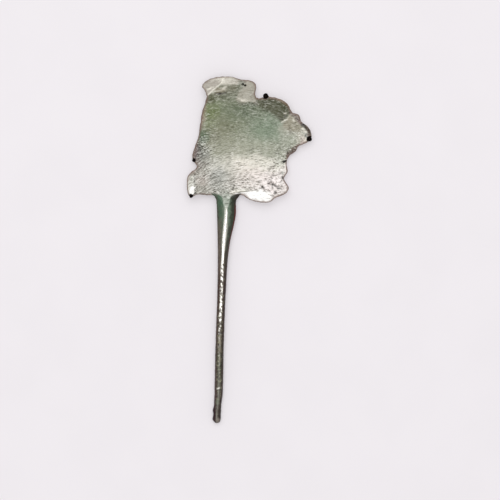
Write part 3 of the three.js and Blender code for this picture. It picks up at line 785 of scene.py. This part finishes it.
# The two sides of each kind of mark: the value that shows it, where it starts and is full, the mask that
# makes it stronger, how strong it is where that is 0 and 1, and how it changes the colour
# MULTIPLY lays painted shade and SCREEN painted glints of the hammer marks over the colour
SHADES = [
    ("crest", -0.1, -0.7, "rough", 0.4, 0.6, (0.6, 0.6, 0.58, 1), "MULTIPLY"),
    ("crest", 0.1, 0.8, "rough", 0.3, 0.6, (0.3, 0.3, 0.27, 1), "SCREEN"),
    ("streak", 0.48, 0.34, "lower", 0.28, 1.0, (0.42, 0.42, 0.39, 1), "MULTIPLY"),
    ("streak", 0.53, 0.7, "lower", 0.33, 1.0, (0.36, 0.36, 0.33, 1), "SCREEN"),
    ("grain", 0.46, 0.3, "rough", 0.3, 1.0, (0.22, 0.2, 0.19, 1), "MULTIPLY"),
    ("grain", 0.56, 0.72, "rough", 0.3, 1.0, (0.5, 0.5, 0.46, 1), "SCREEN"),
]

# Colours down the shaft: share of its length from the neck, and the colour there
# The sides are darker and the middle paler, partly as painted shade and light
LEFT_COLOURS = [
    (0.0, (64, 91, 69)), (0.08, (72, 89, 71)), (0.15, (88, 84, 72)), (0.28, (98, 86, 76)),
    (0.42, (56, 30, 20)), (0.6, (76, 62, 50)), (0.7, (62, 56, 44)), (0.88, (76, 58, 54)),
    (0.94, (46, 12, 18)),
]
RIGHT_COLOURS = [
    (0.0, (42, 46, 34)), (0.1, (46, 58, 42)), (0.19, (52, 52, 42)), (0.3, (56, 50, 40)),
    (0.42, (40, 22, 18)), (0.6, (48, 36, 28)), (0.72, (46, 42, 30)), (0.85, (62, 52, 44)),
    (0.93, (48, 39, 31)),
]
MIDDLE_COLOURS = [
    (0.0, (104, 124, 104)), (0.1, (92, 106, 90)), (0.25, (86, 80, 70)), (0.42, (88, 74, 66)),
    (0.6, (88, 82, 70)), (0.67, (116, 106, 90)), (0.74, (76, 79, 60)), (0.85, (92, 88, 78)),
    (0.96, (84, 76, 68)),
]
DARK_SPECK_COLOUR = srgb(34, 27, 22)
PALE_SPECK_COLOUR = srgb(158, 158, 128)
SHAFT_EDGE_COLOUR = srgb(56, 33, 29)
RED_EDGE_COLOUR = srgb(92, 24, 22)
# The near white of the worn line is partly a painted highlight on the ridge that faces the light
WORN_HIGHLIGHT_COLOUR = srgb(232, 230, 222)

# Small patches on the shaft, in the same form and also in percent of the head
SHAFT_PATCHES = {
    # The dark red side of the point is partly painted shade
    "dark red side of the point": ((21.3, -167.6), (1.6, 7.6), 0, 0.35, 1.0, (34, 5, 11)),
    "dark notch on the right": ((27.2, -157.8), (0.9, 1.8), 0, 0.5, 0.85, (34, 18, 12)),
    "green spot": ((24.3, -158.3), (1.4, 2.1), 0, 0.6, 0.45, (108, 120, 100)),
    "pinkish grey point": ((25, -172.8), (1.4, 1.8), 0, 0.6, 0.6, (134, 124, 116)),
}

# The shine of the patina and of the worn line, and the height of the fine hammer marks in millimetres
PATINA_REFRACTION = 1.38
WORN_ROUGHNESS = 0.25
WORN_METAL = 0.9
BUMP_HEIGHT = 0.25


def patch_share(graph, place, centre, half_widths, turn, soft, strength):
    """1 inside an ellipse on the head and 0 outside it, with a soft border, times its strength."""
    x, y = on_head(*centre)
    turned = graph.turned(graph.vector("SUBTRACT", place, (x * MM, y * MM, 0)), -turn)
    wide, high = half_widths[0] / 100 * HEAD_WIDTH * MM, half_widths[1] / 100 * HEAD_HEIGHT * MM
    scaled = graph.vector("MULTIPLY", turned, (1 / wide, 1 / high, 0))
    length = graph.node("VectorMath", {"operation": "LENGTH"}, i0=scaled).outputs["Value"]
    return graph.spread(length, 1 + soft, max(0.0, 1 - soft), 0.0, strength)


def painted(graph, colour, place, patches):
    """The colour with soft patches of others laid over it in turn."""
    for *shape, tint in patches.values():
        colour = graph.mix(patch_share(graph, place, *shape), colour, srgb(*tint))
    return colour


def along_marks(graph, place, slope, fade):
    """The place, with the curved lines of the hammer marks made level, as in marks_level."""
    x = graph.node("SeparateXYZ", Vector=place).outputs["X"]
    across = graph.math("SUBTRACT", HEAD_LEFT / fade, graph.times(x, 1 / (fade * MM)))
    lift = graph.times(graph.math("EXPONENT", across), slope * fade * MM)
    return graph.vector("ADD", place, graph.node("CombineXYZ", Y=lift).outputs["Vector"])


def strokes(graph, place, length, width, detail):
    """Fine strokes along the hammer marks, of a length and width in millimetres, 0 to 1."""
    sizes = (1 / (length * MM), 1 / (width * MM), 1 / (length * MM))
    levels = [along_marks(graph, place, *slope) for slope in MARK_SLOPES]
    upper, lower = (graph.noise(graph.vector("MULTIPLY", level, sizes), 1.0, detail) for level in levels)
    blend = graph.between(graph.mask("lower"), upper, lower)
    stronger = graph.times(graph.math("SUBTRACT", blend, 0.5), graph.mask("gain"))
    return graph.plus(stronger, 0.5)


def hammered(graph, colour, place, streak, grain):
    """The colour with painted shade and painted glints on the hammer marks, strongest where it is rough."""
    patchy = graph.spread(graph.noise(place, 190), 0.35, 0.6, 0.6, 1.15)
    loud = graph.math("SUBTRACT", 1.0, graph.mask("quiet"))
    amount = graph.times(graph.math("MAXIMUM", patchy, graph.mask("rough")), loud)
    values = {"crest": graph.mask("crest"), "streak": streak, "grain": grain}
    for value, start, full, mask, weakest, strongest, tint, blend in SHADES:
        side = graph.spread(values[value], start, full)
        strength = graph.spread(graph.mask(mask), 0, 1, weakest, strongest)
        colour = graph.mix(graph.times(side, strength, amount), colour, tint, blend)
    return colour


def brown_and_shaded_edge(graph, colour, place):
    """The colour with a wide ragged brown seam along the broken edge, partly painted shade, and a narrow one
    over it.
    """
    edge = graph.mask("edge")
    ragged = graph.plus(edge, graph.spread(graph.noise(place, 300), 0.2, 0.8, -0.7, 0.7))
    flaps = graph.plus(graph.mask("top_band"), graph.mask("corner_flap"))
    unlined = graph.math("SUBTRACT", 1.0, graph.mask("dark_mark_and_shade"))
    shown = graph.times(graph.spread(flaps, 0, 1, 1.0, 0.6), unlined)
    for seam, strength in ((graph.spread(ragged, 1.3, 0.2), 0.55), (graph.spread(edge, 0.75, 0.25), 0.85)):
        colour = graph.mix(graph.times(seam, shown, strength), colour, EDGE_COLOUR)
    return colour


def warped_place(graph, place):
    """The place, pushed about a little, which gives the patches of patina uneven borders."""
    drift = graph.noise(place, 260, roughness=0.5, output="Color")
    pushed = graph.vector("MULTIPLY", graph.vector("SUBTRACT", drift, (0.5, 0.5, 0.5)), (0.006, 0.006, 0))
    return graph.vector("ADD", place, pushed)


def head_colour(graph, place, streak, grain, lips):
    """Patches of patina and painted light and shade, then the areas and lines, then streaks, last rim and
    pits.
    """
    colour = painted(graph, HEAD_COLOUR, warped_place(graph, place), PATCHES)
    for name, tint in MASK_COLOURS.items():
        colour = graph.mix(graph.mask(name), colour, srgb(*tint))
    colour = hammered(graph, colour, place, streak, grain)
    # The painted highlight on the two lips
    colour = graph.mix(lips, colour, LIP_HIGHLIGHT_COLOUR)
    colour = brown_and_shaded_edge(graph, colour, place)
    colour = graph.mix(graph.mask("rim"), colour, RIM_COLOUR)
    colour = painted(graph, colour, place, SPOTS)
    return graph.mix(graph.mask("pit"), colour, PIT_COLOUR)


def ramp(graph, value, colours):
    """The colour at a value from 0 to 1, between named stops."""
    made = graph.node("ValToRGB", i0=value)
    stops = made.color_ramp.elements
    while len(stops) < len(colours):
        stops.new(0.5)
    for stop, (position, colour) in zip(stops, colours):
        stop.position = position
        stop.color = srgb(*colour)
    return made.outputs["Color"]


def shaft_specks(graph, colour, place, down, from_middle):
    """The colour with slanted dark and pale specks of corrosion, more of them further down."""
    slanted = graph.vector("MULTIPLY", graph.turned(place, 35), (1.3, 0.7, 1))
    dark = graph.spread(graph.noise(slanted, 1300, roughness=0.6), 0.5, 0.62)
    dark = graph.times(dark, graph.spread(down, 0.2, 0.5, 0.35, 0.8))
    pale = graph.spread(graph.noise(graph.vector("ADD", slanted, (0.3, 0, 0)), 1100, 2.0), 0.54, 0.66)
    pale = graph.times(graph.spread(down, 0.25, 0.55, 0.1, 0.6), graph.spread(from_middle, 0.8, 0.4),
                       graph.spread(down, 0.95, 0.8, 0.3, 1.0), pale)
    colour = graph.mix(dark, colour, DARK_SPECK_COLOUR)
    return graph.mix(pale, colour, PALE_SPECK_COLOUR)


def shaft_edges(graph, colour, down, from_middle):
    """The colour with brown along both sides, partly painted shade, and red on the right side of the neck."""
    brown = graph.times(graph.spread(down, 0.0, 0.2, 0.4, 0.9), graph.spread(down, 0.91, 0.88),
                        graph.spread(from_middle, 0.74, 0.97))
    red = graph.times(graph.spread(down, 0.02, 0.06), graph.spread(down, 0.3, 0.2, 0.0, 0.75),
                      graph.spread(graph.mask("aside"), 0.78, 0.92))
    colour = graph.mix(brown, colour, SHAFT_EDGE_COLOUR)
    return graph.mix(red, colour, RED_EDGE_COLOUR)


def shaft_colour(graph, place):
    """Green near the neck, brown further down, paler along its middle (partly painted light), with specks of
    corrosion.
    """
    y = graph.node("SeparateXYZ", Vector=place).outputs["Y"]
    top, bottom = NECK_LINE * MM, (NECK_LINE - STEM_LENGTH) * MM
    down = graph.node("MapRange", Value=y, From_Min=top, From_Max=bottom).outputs["Result"]
    blotch = graph.noise(place, 420)
    wavering = graph.plus(down, graph.spread(blotch, 0.25, 0.75, -0.04, 0.04))
    aside = graph.plus(graph.mask("aside"), graph.spread(blotch, 0.25, 0.75, -0.12, 0.12))
    from_middle = graph.math("ABSOLUTE", aside)
    left, right, middle = (ramp(graph, wavering, colours)
                           for colours in (LEFT_COLOURS, RIGHT_COLOURS, MIDDLE_COLOURS))
    sides = graph.mix(graph.spread(aside, -0.2, 0.3), left, right)
    colour = graph.mix(graph.spread(from_middle, 0.62, 0.25), sides, middle)
    colour = shaft_specks(graph, colour, place, down, from_middle)
    colour = shaft_edges(graph, colour, down, from_middle)
    return painted(graph, colour, place, SHAFT_PATCHES)


def lip_highlight_share(graph, streak):
    """1 on the painted highlight of the two white lips at the bottom, with borders that the streaks make
    ragged.
    """
    white = graph.math("MAXIMUM", graph.mask("lower_lip_highlight"), graph.mask("corner_highlight"))
    ragged = graph.plus(white, graph.spread(streak, 0.3, 0.7, -0.45, 0.45))
    return graph.times(graph.spread(ragged, 0.25, 0.8), graph.spread(white, 0.0, 0.15))


def crust_share(graph, place):
    """1 on the black lumps of crust and 0 elsewhere."""
    crust = 0.0
    for centre, radius in CRUSTS:
        reach = CRUST_REACH * radius
        sizes = (reach / HEAD_WIDTH * 100, reach / HEAD_HEIGHT * 100)
        crust = graph.math("MAXIMUM", patch_share(graph, place, centre, sizes, 0, 0.15, 1.0), crust)
    return crust


def fine_bumps(graph, streak, grain, lips):
    """The normal of the fine hammer marks, which are fainter on the white lips."""
    marks = graph.plus(streak, graph.times(grain, 0.6))
    height = graph.times(marks, graph.spread(lips, 0.0, 1.0, 1.0, 0.25))
    bump = graph.node("Bump", Height=height, Strength=0.6, Distance=BUMP_HEIGHT * MM)
    return bump.outputs["Normal"]


def bronze_material():
    """Bronze under patina, worn bright down the ridge of the shaft, where that is partly a painted highlight.
    """
    material = bpy.data.materials.new(SLOT)
    graph = Graph(material)
    place = graph.node("TexCoord").outputs["Object"]
    streak = strokes(graph, place, 2.0, 0.45, 2.0)
    grain = strokes(graph, graph.vector("ADD", place, (0.5, 0.2, 0)), 0.85, 0.33, 1.0)
    lips = lip_highlight_share(graph, streak)
    crust = crust_share(graph, place)
    worn = graph.mask("worn")

    head = head_colour(graph, place, streak, grain, lips)
    colour = graph.mix(graph.mask("on_shaft"), head, shaft_colour(graph, place))
    colour = graph.mix(crust, colour, CRUST_COLOUR)
    # The worn line, painted near white along the ridge: partly a painted highlight
    colour = graph.mix(worn, colour, WORN_HIGHLIGHT_COLOUR)
    dark = graph.math("MAXIMUM", crust, graph.mask("pit"))
    metal = graph.math("MAXIMUM", graph.spread(worn, 0.0, 1.0, 0.0, WORN_METAL), dark)
    dull = graph.spread(graph.noise(place, 700, 2.0), 0.3, 0.7, 0.3, 0.46)
    roughness = graph.between(worn, dull, WORN_ROUGHNESS)
    bumps = fine_bumps(graph, streak, grain, lips)
    shader = graph.node("BsdfPrincipled", Base_Color=colour, Roughness=roughness, Metallic=metal,
                        IOR=PATINA_REFRACTION, Normal=bumps)
    graph.node("OutputMaterial", Surface=shader.outputs["BSDF"])
    return material


# Camera, floor and light, in metres

VIEW_WIDTH = 216.8 * MM  # what the picture's 500 pixels span on the floor
VIEW_SHIFT = 0.22 * MM  # the pin stands half a pixel left of the picture's middle
CAMERA_HEIGHT = 1.3
SENSOR = 36.0  # in millimetres
FLOOR_SIZE = 6
FLOOR_COLOURS = [(189, 186, 189), (191, 188, 191)]
FLOOR_GLOW_COLOUR = srgb(240, 236, 239)
FLOOR_GLOW = 0.35
WORLD_COLOUR = (1.0, 0.985, 0.99, 1.0)


def floor_material():
    """Plain pale studio card with the faintest grain, and a faint glow that keeps the shadow pale."""
    material = bpy.data.materials.new("pale_floor")
    graph = Graph(material)
    place = graph.node("TexCoord").outputs["Object"]
    grain = graph.noise(place, 30.0, 2.0)
    first, second = (srgb(*colour) for colour in FLOOR_COLOURS)
    colour = graph.mix(graph.spread(grain, 0.3, 0.7), first, second)
    shader = graph.node("BsdfPrincipled", Base_Color=colour, Roughness=0.8, Specular_IOR_Level=0.2,
                        Emission_Color=FLOOR_GLOW_COLOUR, Emission_Strength=FLOOR_GLOW)
    graph.node("OutputMaterial", Surface=shader.outputs["BSDF"])
    return material


def add_camera():
    """A camera that looks straight down on the pin."""
    data = bpy.data.cameras.new("camera")
    data.sensor_width = SENSOR
    data.lens = SENSOR * CAMERA_HEIGHT / VIEW_WIDTH
    camera = bpy.data.objects.new("camera", data)
    camera.location = (VIEW_SHIFT, 0, CAMERA_HEIGHT)
    bpy.context.scene.collection.objects.link(camera)
    bpy.context.scene.camera = camera


def add_floor():
    """The plain floor that the pin lies on."""
    bpy.ops.mesh.primitive_plane_add(size=FLOOR_SIZE)
    floor = bpy.context.object
    floor.name = "floor"
    floor.data.materials.append(floor_material())


def add_light(name, towards, distance, size, power):
    """An area light in the direction given as degrees towards +X and towards +Y from straight up."""
    data = bpy.data.lights.new(name, "AREA")
    data.shape = "RECTANGLE"
    data.size, data.size_y = size
    data.energy = power
    light = bpy.data.objects.new(name, data)
    across, up = (math.tan(math.radians(angle)) for angle in towards)
    light.location = Vector((across, up, 1)).normalized() * distance
    light.rotation_mode = "QUATERNION"
    light.rotation_quaternion = (-light.location).to_track_quat("-Z", "Y")
    bpy.context.scene.collection.objects.link(light)


def add_world(strength):
    """Even light from all round."""
    world = bpy.data.worlds.new("studio")
    world.use_nodes = True
    background = world.node_tree.nodes["Background"]
    background.inputs["Color"].default_value = WORLD_COLOUR
    background.inputs["Strength"].default_value = strength
    bpy.context.scene.world = world


add_camera()
pin = fine_copy()
dress(pin)
pin.data.materials.clear()
pin.data.materials.append(bronze_material())
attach(pin, "root")
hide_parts(NODE)
add_floor()
add_light("softbox overhead", towards=(-2, 0), distance=1.6, size=(1.3, 1.3), power=8.6)
add_light("key", towards=(-4, 28), distance=1.6, size=(1.5, 1.1), power=8.4)
add_world(strength=0.58)
bpy.context.scene.view_settings.view_transform = "Standard"
